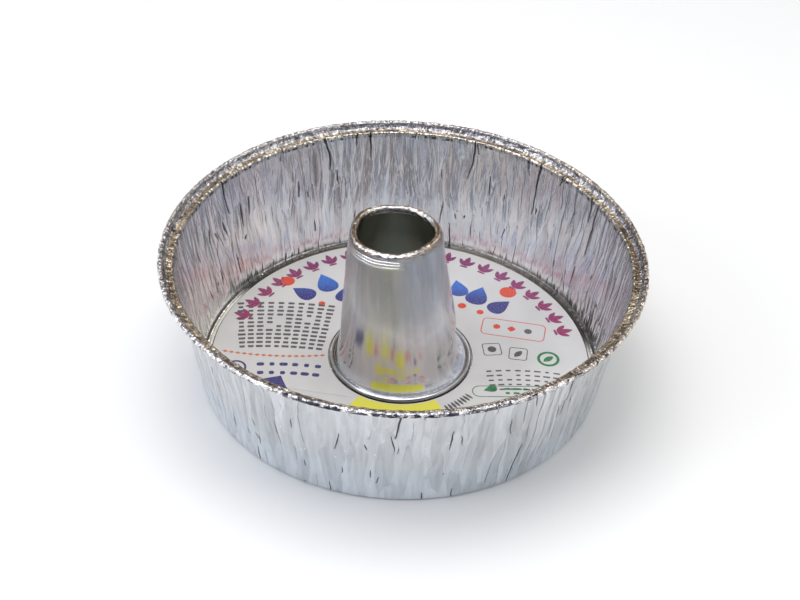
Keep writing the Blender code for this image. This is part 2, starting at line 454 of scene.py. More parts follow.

# threads of painted highlight and painted shade that run round a sheet: arc length, width,
# colour, level of the gaps, pitch, and the angle and reach of the side where they show
everySide = (0, -2)
lipThreads = [
    (0.0039, 0.00022, (0.86, 0.80, 0.70), 0.38, 0.0035, *everySide),
    (0.0053, 0.00020, (0.10, 0.08, 0.07), 0.52, 0.0030, *everySide),
    (0.0066, 0.00022, (0.84, 0.82, 0.80), 0.44, 0.0030, *everySide),
    (0.0077, 0.00018, (0.10, 0.08, 0.07), 0.50, 0.0025, *everySide),
    (0.0030, 0.00050, (0.97, 0.97, 0.98), 0.20, 0.0040, 52, 0.93),
    (0.0070, 0.00045, (0.97, 0.97, 0.98), 0.44, 0.0025, 236, 0.82),
]


def emptyBook(owner):
    owner.use_nodes = True
    owner.node_tree.nodes.clear()
    return NodeBook(owner.node_tree)


def newMaterial(name):
    material = bpy.data.materials.new(name)
    return material, emptyBook(material)


def endMaterial(book, values):
    book.end("ShaderNodeBsdfPrincipled", values, "ShaderNodeOutputMaterial")


def facetPlanes(book, grain, looks, pitch, stretch):
    # flat cells, each tilted its own way: their height in metres at a tilt of 1, and two of their
    # random numbers
    aside, up, (first, second, third) = book.nearest(grain, pitch, stretch, looks["spread"])
    edge = book.cells(grain, pitch, stretch, feature="DISTANCE_TO_EDGE")
    flat = book.ramp(edge, 0.0, looks["border"])
    return (aside * (first - 0.5) + up * (second - 0.5) / stretch) * flat * 2.0, first, third


def facing(book, spot, angle, reach, soft):
    # 1 on the side that looks towards an angle in degrees round the centre line
    toward = (math.cos(math.radians(angle)), math.sin(math.radians(angle)), 0.0)
    level = spot.vec("MULTIPLY", (1.0, 1.0, 0.0)).vec("NORMALIZE")
    return book.ramp(level.vec("DOT_PRODUCT", toward).other("Value"), reach, reach + soft)


def foilMetal(book, looks, spot, within, first, broad):
    # the colour of the bare metal on both sides, with its painted reflections and shade, before its
    # facets' tones
    across, away, up = spot.parts()
    back = looks["outside"]
    if "low" in looks:
        # painted reflection: the outer face is paler and bluer towards the foot
        pale, low, high = looks["low"]
        back = book.blend(book.ramp(up, low, high), pale, back)
    if "waist" in looks:
        # the tube is dimmer just above its flare
        dim, low, high, upper, top = looks["waist"]
        back = book.blend(book.ramp(up, low, high) * book.fade(up, upper, top), back, dim)
    front = looks["colour"]
    if "glow" in looks:
        # the card's light warms the near left of the wall
        glow, left, right, low, high = looks["glow"]
        front = book.blend(book.fade(across, left, right) * book.fade(up, low, high), front, glow)
    # painted reflection: the inner face is whiter towards its foot
    if "footReflection" in looks:
        footReflection, low, high = looks["footReflection"]
        front = book.blend(book.fade(up, low, high), front, footReflection)
    metal = book.blend(within, back, front)
    # painted reflection: each facet of the inner face is tinted cooler or warmer
    sheen = book.blend(book.ramp(first, 0.2, 0.8), (0.94, 0.985, 1.04), (1.02, 0.985, 0.985))
    metal = book.blend(within * 0.7, metal, sheen, "MULTIPLY")
    # painted highlight: the curl's outer half is whitened
    if "blocks" in looks:
        metal = book.blend(book.attribute("outShare"), metal, looks["blocks"]["colour"])
    if "brownReflection" in looks:
        # painted reflection: browner on the right
        brownTint, low, high = looks["brownReflection"]
        metal = book.blend(book.ramp(across, low, high) * 0.8, metal, brownTint)
    # painted reflection: the flange is tan to brown, greyer towards the near side
    if "brim" in looks:
        brim = book.blend(book.ramp(broad, 0.40, 0.62), *looks["brim"])
        grey, low, high = looks["grey"]
        brim = book.blend(book.ramp(away, low, high, 0.75, 0.0), brim, grey)
        metal = book.blend(book.attribute("brimShare"), metal, brim)
    # painted reflection: the tube's rim is browner at its left and right
    if "lip" in looks:
        sideways = (across + 0.005).size()
        sideBrown = book.attribute("rimShare") * book.ramp(broad, 0.30, 0.50)
        sideBrown = sideBrown * book.ramp(sideways, 0.007, 0.018, 0.55, 1.0)
        metal = book.blend(sideBrown, metal, looks["lip"])
    return metal


gutterLook = {
    "start": (0.1000, 0.1003), "ridge": ((0.1007, 0.1013), (0.1031, 0.1038)), "low": 0.0004,
    "height": (0.0021, 0.0013), "near": (0.016, 0.040), "slope": 0.175, "shine": (1.0, 0.95, 0.88),
}


def paintGutterShade(book, colour, spot, within, gutterShade):
    # painted shade where the card's edge and the wall's foot meet the floor; a painted highlight on
    # the ridge between them on the near side
    look = gutterLook
    across, away, up = spot.parts()
    out = spot.vec("MULTIPLY", (1.0, 1.0, 0.0)).vec("LENGTH").other("Value")
    inside, outside = look["ridge"]
    ridge = book.ramp(out, *inside) * book.fade(out, *outside)
    shine = book.fade(away + across * look["slope"], *look["near"])
    gutter = book.ramp(out, *look["start"]) * (1.0 - ridge * shine) * within
    gutter = gutter * book.fade(up, look["low"], book.ramp(shine, 0.0, 1.0, *look["height"]))
    colour = book.blend(gutter, colour, gutterShade)
    return book.blend(ridge * shine * within, colour, look["shine"])


def foilMaterial(name, kind, threads=(), gutterShade=None):
    # crushed foil: flat facets whose differing tone is painted reflection, drawing streaks, painted
    # glints, and dark lines of painted shade where a fold is shut; threads are thin broken lines of
    # painted highlight and shade that run round the sheet, and the last argument is its gutter's
    # painted shade
    looks = {**foilCommon, **foilLooks[kind]}
    material, book = newMaterial(name)
    grain = book.attribute("grain", "FLOAT_VECTOR")
    within = book.attribute("within")
    spot = book.add("ShaderNodeTexCoord", output="Object")
    across, _, up = spot.parts()

    pitch, stretch, facetTilt = looks["facets"]
    slope, first, third = facetPlanes(book, grain, looks, pitch, stretch)
    wobble = book.noise(grain.vec("MULTIPLY", (260.0, 260.0, 90.0)), output="Color")
    wavy = grain.vec("ADD", wobble.vec("SUBTRACT", (0.5, 0.5, 0.5)).scaled(looks["wobble"]))
    pitch, stretch, fineTilt = looks["fine"]
    finer, _, minor = facetPlanes(book, wavy, looks, pitch, stretch)
    pitch, stretch, streakDepth = looks["streaks"]
    streaks = book.noise(wavy, pitch, stretch, detail=3.0, roughness=0.55)
    tilt, contrast = (within * (inner - outer) + outer
                      for inner, outer in (looks["tilt"], looks["contrast"]))
    height = (slope * facetTilt + finer * fineTilt + streaks * streakDepth) * tilt

    # painted reflection: each facet has its own tone, because each faces another part of the room
    broad = book.noise(grain.vec("MULTIPLY", (70.0, 70.0, 25.0)), detail=2.0)
    large, small, drawn = looks["toneParts"]
    tone = (third - 0.55) * large + (minor - 0.5) * small + (streaks - 0.5) * drawn
    tone = 1.0 + (tone + (broad - 0.5) * 0.6) * contrast
    if "calm" in looks:
        # smoother, and lighter by painted light, in the middle of the far and near walls
        start, end, least, extra = looks["calm"]
        middle = book.fade(across.size(), start, end) * within
        tone = tone + middle * (extra + (1.0 - tone) * (1.0 - least))
    if "lines" in looks:
        # creases that run round the rolled edge, with painted reflection in their tone
        lines = looks["lines"]
        sheet = book.sheetPlace()
        run = book.noise(sheet, lines["pitch"], lines["stretch"])
        rolled = book.attribute("rimShare")
        height = height + run * rolled * lines["depth"]
        tone = tone + (run - 0.5) * rolled * lines["contrast"]
    if "blocks" in looks:
        # the outer half of the curl is crushed into larger blocks, with painted reflection in their
        # tones
        blocks = looks["blocks"]
        turned = book.attribute("outShare")
        block, _, blockTone = facetPlanes(book, grain, looks, blocks["pitch"], blocks["stretch"])
        height = height + block * turned * blocks["tilt"]
        tone = tone + (blockTone - 0.45) * turned * blocks["contrast"]
        # painted shade under the curl's outer edge
        tone = tone - book.attribute("underShare") * blocks["shadow"]
    # painted light: the tube is darker on its left and lighter on its right
    if "sides" in looks:
        left, right = looks["sides"]
        tone = tone * book.ramp(across, -0.03, 0.03, left, right)
    metal = foilMetal(book, looks, spot, within, first, broad)
    colour = metal.scaled(tone.calc("MAXIMUM", 0.0))
    # painted shade where the painted tone runs low
    colour = book.blend(book.fade(tone, 0.2, 0.75), colour, looks["shade"])
    if gutterShade:
        colour = paintGutterShade(book, colour, spot, within, gutterShade)
    # painted shade on both sides of the roll's top at the tube's foot
    if "seam" in looks:
        colour = book.blend(book.attribute("seamShare") * 0.8, colour, looks["seam"])
    # painted glints: a few bright specks where tiny facets would catch the light
    if looks["paintedGlints"]:
        lone = book.cells(grain, 0.0021, 0.9)
        least = 1.0 - looks["paintedGlints"]
        bright = book.ramp(lone.other("Color").parts()[0], least, least + 0.002)
        colour = book.blend(bright * book.fade(lone, 0.15, 0.35), colour, (0.95, 0.95, 0.95))
    if "gap" in looks:
        # along the sheet's edges: a darker band, with cream dashes of painted highlight on it
        beads = book.noise(grain, 0.0015, 6.0)
        edge = book.attribute("lineShare")
        colour = book.blend(edge * 0.9, colour, looks["gap"])
        colour = book.blend(book.ramp(beads, 0.50, 0.57) * edge * 0.75, colour, (0.86, 0.82, 0.74))
    if "dusk" in looks:
        # painted shade: the front of the curl turns nearly black towards its underside, in patches
        dusk = looks["dusk"]
        patches = book.noise(grain, dusk["pitch"])
        night = facing(book, spot, dusk["angle"], dusk["reach"], 0.07)
        night = night * book.ramp(patches, dusk["level"], dusk["level"] + 0.08)
        colour = book.blend(night * book.attribute("duskShare") * 0.92, colour, dusk["colour"])
    # threads: thin broken lines, some of painted highlight and some of painted shade
    for index, (place, width, ink, level, pitch, angle, reach) in enumerate(threads):
        arc = book.sheetPlace()
        breaks = book.noise(arc.vec("ADD", (0.0, 0.0, 0.7 * index)), pitch, 8.0)
        off = (arc.parts()[2] - place + (broad - 0.5) * 0.0010).size()
        mark = book.fade(off, width, width * 1.8) * book.ramp(breaks, level, level + 0.05)
        colour = book.blend(mark * facing(book, spot, angle, reach, 0.05) * 0.9, colour, ink)
    # fold lines: painted shade where a fold is shut
    for fold in looks["folds"]:
        distance, strength = foldStroke(book, grain, fold, looks["spread"])
        there = book.ramp(strength, 0.0, 0.12)
        width = strength.calc("SQRT") * (within * 0.35 + 0.85) * fold["width"] + 0.00008
        line = book.fade(distance / width, 0.5, 1.1) * there
        height = height + book.ramp(distance, 0.0, 0.0011, 0.00022, 0.0) * there
        colour = book.blend(line * 0.95, colour, looks["shade"])

    # under 0.27 everywhere: the denoiser outlines the places where a metal crosses that
    roughness = book.ramp(broad, 0.3, 0.7, looks["roughness"] - 0.035, looks["roughness"] + 0.03)
    if "polish" in looks:
        low, high, change = looks["polish"]
        roughness = roughness + book.ramp(up, low, high, change, 0.0)
    if "bead" in looks:
        # creases under the lip, at one side, with painted highlights on them
        bead = looks["bead"]
        near = facing(book, spot, bead["angle"], bead["reach"], 0.1) * (1.0 - within)
        for place in bead["heights"]:
            off = (up - place + (broad - 0.5) * 0.0016).size()
            crest = book.fade(off, bead["width"], bead["width"] * 2) * near
            height = height + crest * 0.0004
            colour = book.blend(crest * 0.9, colour, (0.97, 0.97, 0.98))
    endMaterial(book, {"Base Color": colour, "Metallic": 1.0, "Roughness": roughness,
                       "Normal": book.bump(height)})
    return material


cameraSetup = {
    "place": (0.0052, -0.5665, 0.4880), "aim": (-0.00142, 0.02291, 0.020), "roll": 1.974,
    "lens": 63.0, "sensor": 36.0,
}


def makeCamera(setup):
    place, aim = Vector(setup["place"]), Vector(setup["aim"])
    ahead = (aim - place).normalized()
    right = ahead.cross(Vector((0, 0, 1))).normalized()
    up = right.cross(ahead)
    roll = math.radians(setup["roll"])
    cos, sin = math.cos(roll), math.sin(roll)
    right, up = right * cos + up * sin, up * cos - right * sin
    data = bpy.data.cameras.new("photoCamera")
    data.lens, data.sensor_width = setup["lens"], setup["sensor"]
    camera = placeNew("photoCamera", data)
    turn = Matrix((right, up, -ahead)).transposed()
    camera.matrix_world = Matrix.Translation(place) @ turn.to_4x4()
    bpy.context.scene.camera = camera


lightSetup = {
    "panels": [
        {"name": "topPanel", "place": (-0.15, 0.10, 1.25), "aim": (0, 0, 0), "size": (1.1, 0.9),
         "power": 9.0, "colour": (1.0, 0.99, 0.98)},
        {"name": "leftPanel", "place": (-1.2, -0.5, 0.75), "aim": (0, 0, 0.05), "size": (0.6, 0.9),
         "power": 5.0, "colour": (0.96, 0.98, 1.0)},
        {"name": "rightPanel", "place": (1.2, -0.3, 0.8), "aim": (0, 0, 0.05), "size": (0.5, 0.8),
         "power": 3.0, "colour": (0.97, 0.98, 1.0)},
    ],
    "low": (0.62, 0.63, 0.66), "high": (0.78, 0.79, 0.82), "left": (0.97, 1.0, 1.05),
    "right": (0.96, 0.955, 0.87), "warm": (0.33, 0.28, 0.23), "cool": (0.17, 0.18, 0.24),
}


def makeLights(setup):
    for panel in setup["panels"]:
        data = bpy.data.lights.new(panel["name"], "AREA")
        data.shape = "RECTANGLE"
        data.size, data.size_y = panel["size"]
        data.energy, data.color = panel["power"], panel["colour"]
        lamp = placeNew(panel["name"], data)
        lamp.location = panel["place"]
        toward = Vector(panel["aim"]) - Vector(panel["place"])
        lamp.rotation_euler = toward.to_track_quat("-Z", "Y").to_euler()
    world = bpy.data.worlds.new("studio")
    bpy.context.scene.world = world
    book = emptyBook(world)
    look = book.add("ShaderNodeTexCoord", output="Generated")
    across, away, up = look.parts()
    # pale all round, with a warm patch of room behind the pan and a cool one behind the camera
    behind = book.ramp(away, 0.45, 0.72) * book.fade(up, 0.70, 0.88)
    ahead = look.vec("DOT_PRODUCT", (0.0, -0.80, 0.60)).other("Value")
    sky = book.blend(book.ramp(up, 0.0, 0.8), setup["low"], setup["high"])
    side = book.blend(book.ramp(across, -0.8, 0.8), setup["left"], setup["right"])
    sky = sky.vec("MULTIPLY", side)
    sky = book.blend(behind, sky, setup["warm"])
    sky = book.blend(book.ramp(ahead, 0.70, 0.92), sky, setup["cool"])
    book.end("ShaderNodeBackground", {"Color": sky}, "ShaderNodeOutputWorld")


def makeTable():
    # plain pale ground, wide enough for every view
    mesh = bpy.data.meshes.new("table")
    side = 6.0
    corners = [(-side, -side, 0), (side, -side, 0), (side, side, 0), (-side, side, 0)]
    mesh.from_pydata(corners, [], [(0, 1, 2, 3)])
    table = placeNew("table", mesh)
    table.location = (0, 0, -0.0002)
    material, book = newMaterial("paleTable")
    endMaterial(book, {"Base Color": (0.93, 0.93, 0.93, 1.0), "Roughness": 0.6})
    mesh.materials.append(material)


makeCamera(cameraSetup)
makeLights(lightSetup)
makeTable()
bpy.context.scene.view_settings.view_transform = "Standard"
print("camera, light and table placed")


# the pan is one sheet of foil, in four pieces that share their edges

panSizes = {
    "gauge": 0.0001, "rollCentre": (0.0364, 0.0010), "rollRadius": 0.00095, "collar": 0.03545,
    "collarFillet": 0.0004, "ridge": 0.1019, "ridgeWidth": 0.0020, "ridgeHeight": 0.0005,
    "foot": 0.1050, "footFillet": 0.0020, "mouth": (0.1149, 0.06785), "mouthFillet": 0.0012,
    "upstand": (0.11965, 0.06875), "upstandFillet": 0.0021,
    "curlCentre": (0.1213, 0.0706), "curlRadius": 0.00165, "curlTurn": 270.0,
    "floorSegments": 480, "wallSegments": 1200, "flangeSegments": 2400, "curlSegments": 2400,
    "narrowing": 0.0060, "rise": 0.0008, "sag": 0.0006,
}
panCrumple = {
    "Pleat Depth": 0.00036, "Pleat Pitch": 0.011, "Facet Depth": 0.00034, "Facet Pitch": 0.0042,
    "Facet Stretch": 8.0, "Fine Depth": 0.00010, "Fine Pitch": 0.0019, "Fold Depth": 0.00030,
    "Fold Width": 0.0013, "Wander": 0.0046, "Lip Depth": 0.00035, "Lip Pitch": 0.0032,
    "Rim Depth": 0.00060, "Rim Pitch": 0.0024, "Floor Depth": 0.00008, "Floor Pitch": 0.013,
    "Seed": 0.31,
}
floorGutterShade = (0.065, 0.057, 0.050)
wallGutterShade = (0.085, 0.077, 0.070)


def panFoilPath(sizes):
    level = sizes["gauge"] / 2
    collar, foot, mouth, upstand = sizes["collar"], sizes["foot"], sizes["mouth"], sizes["upstand"]
    half = sizes["ridgeWidth"] / 2
    share = np.linspace(0, 1, 9)
    ridge = np.column_stack([sizes["ridge"] - half + 2 * half * share,
                             level + sizes["ridgeHeight"] * np.sin(math.pi * share) ** 1.5])
    hole = bendRun(sizes["rollCentre"], sizes["rollRadius"], 0, 180, 6)
    collarBend = cornerRun(hole[-1], (collar, level), (foot, level), sizes["collarFillet"], 4)
    footBend = cornerRun((collar, level), (foot, level), mouth, sizes["footFillet"], 6)
    mouthBend = cornerRun((foot, level), mouth, upstand, sizes["mouthFillet"], 5)
    curl = bendRun(sizes["curlCentre"], sizes["curlRadius"], 180, -sizes["curlTurn"], 14)
    upBend = cornerRun(mouth, upstand, curl[0], sizes["upstandFillet"], 6)
    runs = [
        hole, collarBend, straightRun(collarBend[-1], ridge[0], 40), ridge,
        straightRun(ridge[-1], footBend[0], 1), footBend,
        straightRun(footBend[-1], mouthBend[0], 28), mouthBend,
        straightRun(mouthBend[-1], upBend[0], 4), upBend,
        straightRun(upBend[-1], curl[0], 1), curl,
    ]
    return joinRuns(runs)


def swayRim(places):
    # the soft rim is a little out of round and out of level
    share = np.clip(places[:, 2] / panSizes["curlCentre"][1], 0, 1) ** 1.5
    farRight = nearAngle(places, 28, 26)
    places[:, :2] *= (1 - panSizes["narrowing"] * farRight * share)[:, None]
    lifted = panSizes["rise"] * nearAngle(places, 125, 30)
    places[:, 2] += (lifted - panSizes["sag"] * nearAngle(places, 28, 26)) * share
    return places


def makePan(sizes, crumple, tree):
    path, ends = panFoilPath(sizes)
    arc = lengthAlong(path)
    footAt, mouthStart, mouthAt, curlAt = (arc[ends[run]] for run in (4, 6, 7, 10))
    lipAt = mouthStart + 0.0004
    mouthMiddle = (mouthStart + mouthAt) / 2
    height = path[:, 1]
    wallShare = smooth(height, 0.0009, 0.0030) * (0.30 + 0.70 * smooth(height, 0.001, 0.010))
    wallShare *= 1 - 0.75 * smooth(arc, lipAt - 0.004, lipAt)
    wallShare *= 1 - smooth(arc, mouthAt, mouthAt + 0.002)
    shares = {
        "wallShare": wallShare,
        "lipShare": smooth(arc, lipAt - 0.003, lipAt) * smooth(arc, lipAt + 0.004, lipAt + 0.0006),
        "rimShare": smooth(arc, mouthAt - 0.0004, mouthAt + 0.0012),
        "floorShare": smooth(arc, 0.006, 0.012) * smooth(arc, footAt - 0.002, footAt - 0.004),
        "lineShare": np.exp(-((arc - mouthMiddle) / 0.0008) ** 4)
                     + np.exp(-((arc - curlAt - 0.0006) / 0.0004) ** 2)
                     + np.exp(-((arc - curlAt - 0.0047) / 0.0004) ** 2),
        "brimShare": 1 - smooth(arc, mouthAt + 0.0020, mouthAt + 0.0032),
        "outShare": smooth(arc, curlAt + 0.0028, curlAt + 0.0040),
        "underShare": smooth(arc, curlAt + 0.0053, curlAt + 0.0062),
        "duskShare": smooth(arc, curlAt + 0.0034, curlAt + 0.0041),
    }
    # painted shade: dark ticks just under the mouth's edge
    mouthShadeTicks = [(mouthMiddle - 0.0016, 0.00050, (0.07, 0.065, 0.06), 0.54, 0.0014, *everySide)]
    pieces = {
        "panFloor": (0, ends[3], "floor", (), floorGutterShade),
        "panWall": (ends[3], ends[7], "wall", mouthShadeTicks, wallGutterShade),
        "panFlange": (ends[7], ends[9], "flange"),
        "panCurl": (ends[9], len(path) - 1, "curl"),
    }
    for name, (first, last, kind, *marks) in pieces.items():
        part = slice(first, last + 1)
        cut = {label: values[part] for label, values in shares.items()}
        segments = sizes[kind + "Segments"]
        piece = turnFoil(name, path[part], arc[part], segments, sizes["gauge"], cut, swayRim)
        material = foilMaterial(kind + "Foil", kind, *marks)
        runTree(piece, tree, {**crumple, "Material": material})
        faceOutward(piece)
        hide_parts("pan_shell")
        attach(piece, "pan")
        print(name, "has", len(piece.data.polygons), "faces")


makePan(panSizes, panCrumple, crumpleTree(panCrumple, foilCommon["spread"]))


# the centre tube: lip, taper, and the foot that closes over the seam

tubeSizes = {
    "gauge": 0.0001, "lipCentre": (0.0211, 0.0811), "lipRadius": 0.00225, "lipTurn": 225.0,
    "taper": 0.117, "flareHeight": 0.0120, "flareFillet": 0.040, "valley": (0.0350, 0.0016),
    "valleyFillet": 0.0004, "rollCentre": (0.0364, 0.0010), "rollRadius": 0.00135,
    "rollTurn": 125.0, "tuckHeight": 0.00045, "tuck": 0.0008,
    "lean": 0.0050, "leanFrom": 0.0024, "height": 0.0834,
    "segments": 600, "dent": 0.0040, "frontDent": 0.0007, "bead": 0.0006, "lipSway": 0.0005,
}
tubeCrumple = {
    **panCrumple, "Pleat Depth": 0.00016, "Pleat Pitch": 0.009, "Facet Depth": 0.0,
    "Fine Depth": 0.0, "Fold Depth": 0.0, "Wander": 0.002, "Lip Depth": 0.0, "Rim Depth": 0.00055,
    "Rim Pitch": 0.0040, "Floor Depth": 0.00045, "Floor Pitch": 0.011, "Seed": 1.7,
}


def tubeFoilPath(sizes):
    turn = sizes["lipTurn"]
    lip = bendRun(sizes["lipCentre"], sizes["lipRadius"], turn, -turn, 18)
    foot = sizes["flareHeight"]
    flare = (lip[-1][0] + sizes["taper"] * (lip[-1][1] - foot), foot)
    under = lip[-1] + (np.array(flare) - lip[-1]) * 0.10
    turn = sizes["rollTurn"]
    roll = bendRun(sizes["rollCentre"], sizes["rollRadius"], turn, -turn, 8)
    footBend = cornerRun(under, flare, sizes["valley"], sizes["flareFillet"], 18)
    valleyBend = cornerRun(footBend[-1], sizes["valley"], roll[0], sizes["valleyFillet"], 3)
    corner = (roll[-1][0], sizes["tuckHeight"])
    tuckEnd = (roll[-1][0] - sizes["tuck"], sizes["tuckHeight"])
    return joinRuns([
        lip, straightRun(lip[-1], under, 8), straightRun(under, footBend[0], 16), footBend,
        straightRun(footBend[-1], valleyBend[0], 4), valleyBend, roll,
        straightRun(roll[-1], corner, 2), straightRun(corner, tuckEnd, 2),
    ])


def bendTube(places):
    # the soft tube is dented at the right of its foot, its lip is out of round, and it leans
    height = places[:, 2]

    def band(middle, width):
        return np.exp(-((height - middle) / width) ** 2)

    dent = tubeSizes["dent"] * nearAngle(places, 0, 34) * band(0.0115, 0.0080)
    dent = dent * smooth(height, 0.0026, 0.0070)
    dent = dent + tubeSizes["frontDent"] * nearAngle(places, 262, 50) * band(0.0042, 0.0026)
    bead = tubeSizes["bead"] * nearAngle(places, 236, 26) * band(0.0774, 0.0010)
    angle = np.arctan2(places[:, 1], places[:, 0])
    sway = tubeSizes["lipSway"] * (np.sin(3 * angle + 1.0) + 0.7 * np.sin(5 * angle + 2.3))
    sway = sway * smooth(height, 0.066, 0.080)
    radius = np.hypot(places[:, 0], places[:, 1])
    places[:, :2] *= ((radius - dent + bead + sway) / radius)[:, None]
    low, high = tubeSizes["leanFrom"], tubeSizes["height"]
    places[:, 0] -= tubeSizes["lean"] * np.clip((height - low) / (high - low), 0, None)
    return places


def makeTube(sizes, crumple, tree):
    path, ends = tubeFoilPath(sizes)
    arc = lengthAlong(path)
    lipEnd, footAt, rollAt = (arc[ends[run]] for run in (0, 3, 5))
    inFold = smooth(arc, rollAt + 0.0004, rollAt + 0.0007)
    inFold = inFold * smooth(arc, rollAt + 0.0019, rollAt + 0.0014)
    shares = {
        "wallShare": smooth(arc, lipEnd, lipEnd + 0.006)
                     * smooth(arc, footAt + 0.003, footAt - 0.004),
        "lipShare": arc * 0,
        "rimShare": smooth(arc, 0.0, 0.001) * smooth(arc, lipEnd + 0.003, lipEnd - 0.001),
        "floorShare": smooth(arc, footAt - 0.055, footAt - 0.030)
                      * smooth(arc, rollAt - 0.003, rollAt - 0.008),
        "seamShare": smooth(arc, rollAt - 0.0007, rollAt - 0.0004) * (1 - inFold),
    }
    piece = turnFoil("tubeFoil", path, arc, sizes["segments"], sizes["gauge"], shares, bendTube,
                     foilLooks["tube"]["spread"], (1.0, 0.0))
    runTree(piece, tree, {**crumple, "Material": foilMaterial("tubeFoil", "tube", lipThreads)})
    faceOutward(piece)
    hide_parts("centre_tube")
    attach(piece, "pan")
    print("tubeFoil has", len(piece.data.polygons), "faces")


makeTube(tubeSizes, tubeCrumple, crumpleTree(tubeCrumple, foilLooks["tube"]["spread"]))


# the card, and the printing on it
cardSizes = {
    "hole": 0.0386, "edge": 0.1003, "low": 0.0004, "high": 0.0008, "warp": 0.00018,
    "ink": 0.00003, "inkDepth": 0.00005, "colour": (0.555, 0.54, 0.535),
    "faded": (0.605, 0.59, 0.58), "creaseFrom": (-0.060, -0.0295), "creaseSlope": -0.15,
}


def cardRise(x, y):
    # the card's slight waviness, in metres above its flat place
    return cardSizes["warp"] * (1 + 0.5 * np.sin(38 * x + 21 * y + 0.6)
                                + 0.5 * np.sin(47 * y - 17 * x + 2.1))


def layOnCard(piece):
    # lets a flat piece follow the card's waviness
    places = readThrees(piece.data.vertices, "co")
    places[:, 2] += cardRise(places[:, 0], places[:, 1])
    piece.data.vertices.foreach_set("co", places.ravel())


def makeCard(sizes):
    level = (sizes["low"] + sizes["high"]) / 2
    middle = straightRun((sizes["hole"], level), (sizes["edge"], level), 24)
    thick = sizes["high"] - sizes["low"]
    piece = turnFoil("cardSheet", middle, middle[:, 0] - sizes["hole"], 240, thick, {})
    faceOutward(piece)
    layOnCard(piece)
    material, book = newMaterial("cardStock")
    spot = book.add("ShaderNodeTexCoord", output="Object")
    fibre = book.noise(spot.scaled(2200.0), detail=3.0, roughness=0.6)
    broad = book.noise(spot.scaled(38.0), detail=2.0)
    across, away, _ = spot.parts()

    # a shallow crease runs across the near left of the card, darkened with painted shade
    startX, startY = sizes["creaseFrom"]
    crease = (away - startY - (across - startX) * sizes["creaseSlope"]).size()
    crease = book.fade(crease, 0.0, 0.0007) * book.ramp(across, startX - 0.02, startX)
    crease = crease * book.fade(across, -0.030, -0.022)
    colour = book.blend(book.ramp(broad, 0.3, 0.7), sizes["colour"], sizes["faded"])
    colour = book.blend(crease * 0.4, colour, (0.35, 0.34, 0.34))
    endMaterial(book, {"Base Color": colour, "Roughness": book.ramp(broad, 0.3, 0.7, 0.34, 0.46),
                       "Normal": book.bump(fibre * 0.00001 - crease * 0.0002)})
    piece.data.materials.append(material)
    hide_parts("label_card")
    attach(piece, "card")
    print("cardSheet has", len(piece.data.polygons), "faces")


makeCard(cardSizes)


# outlines for the printing, in millimetres on the card
def disc(x, y, radius, count=28):
    return (x, y) + radius * circle(np.linspace(0, 2 * math.pi, count, endpoint=False))


def leaf(x, y, length, width, turn, count=9):
    # two bowed edges that meet in points
    share = np.linspace(0, 1, count)
    bow = width / 2 * np.sin(math.pi * share) ** 0.8
    edge = np.column_stack([(share - 0.5) * length, bow])
    return turned2d(np.vstack([edge, -edge[1:-1]]), turn) + (x, y)


def drop(x, y, length, width, turn, count=20):
    # round at one end and pointed at the other
    angle = np.linspace(0, 2 * math.pi, count, endpoint=False)
    bow = np.sin(angle) * np.sin(angle / 2) ** 1.3 * width * 0.66
    edge = np.column_stack([np.cos(angle) * length / 2, bow])
    return turned2d(edge, turn) + (x, y)


def softBox(x, y, wide, tall, corner, turn=0.0):
    points = []
    for side, (signX, signY) in enumerate(((1, 1), (-1, 1), (-1, -1), (1, -1))):
        angle = np.radians(90 * side + np.linspace(0, 90, 5))
        centre = (signX * (wide / 2 - corner), signY * (tall / 2 - corner))
        points.append(centre + corner * circle(angle))
    return turned2d(np.vstack(points), turn) + (x, y)


def arcBand(inner, outer, start, turn, count, scallops, depth):
    # part of a ring about the card's middle, with a scalloped outer edge
    share = np.linspace(0, 1, count)
    angle = np.radians(start + turn * share)
    edge = outer + depth * np.abs(np.sin(share * math.pi * scallops))
    return np.vstack([edge[:, None] * circle(angle), inner * circle(angle)[::-1]])


def turned2d(points, turn):
    cos, sin = math.cos(math.radians(turn)), math.sin(math.radians(turn))
    return points @ np.array([[cos, sin], [-sin, cos]])


def inkPlate(name, outlines, rings=(), longest=0.007):
    # a thin closed plate from filled outlines and from rings, which are pairs of matching outlines
    sheet = bmesh.new()

    def corners(outline):
        return [sheet.verts.new((x / 1000, y / 1000, 0)) for x, y in outline]

    for outline in outlines:
        sheet.faces.new(corners(outline))
    for ring in rings:
        far, near = map(corners, ring)
        for here in range(len(far)):
            after = (here + 1) % len(far)
            sheet.faces.new([far[here], far[after], near[after], near[here]])
    bmesh.ops.triangulate(sheet, faces=sheet.faces)
    for _ in range(4):
        wide = [edge for edge in sheet.edges if edge.calc_length() > longest]
        if not wide:
            break
        bmesh.ops.subdivide_edges(sheet, edges=wide, cuts=1)
        bmesh.ops.triangulate(sheet, faces=sheet.faces)
    for face in sheet.faces:
        face.normal_update()
        if face.normal.z < 0:
            face.normal_flip()
    sheet.verts.index_update()
    places = np.array([vert.co for vert in sheet.verts])
    faces = [[vert.index for vert in face.verts] for face in sheet.faces]
    sheet.free()
    directed = {(face[i], face[(i + 1) % 3]) for face in faces for i in range(3)}
    count = len(places)
    sides = [(a, a + count, b + count, b) for a, b in sorted(directed) if (b, a) not in directed]
    top = places + (0, 0, cardSizes["high"] + cardSizes["ink"])
    under = places + (0, 0, cardSizes["high"] - cardSizes["inkDepth"])
    turnedOver = [[i + count for i in face[::-1]] for face in faces]
    mesh = bpy.data.meshes.new(name)
    mesh.from_pydata(np.vstack([top, under]), [], faces + turnedOver + sides)
    return placeNew(name, mesh)


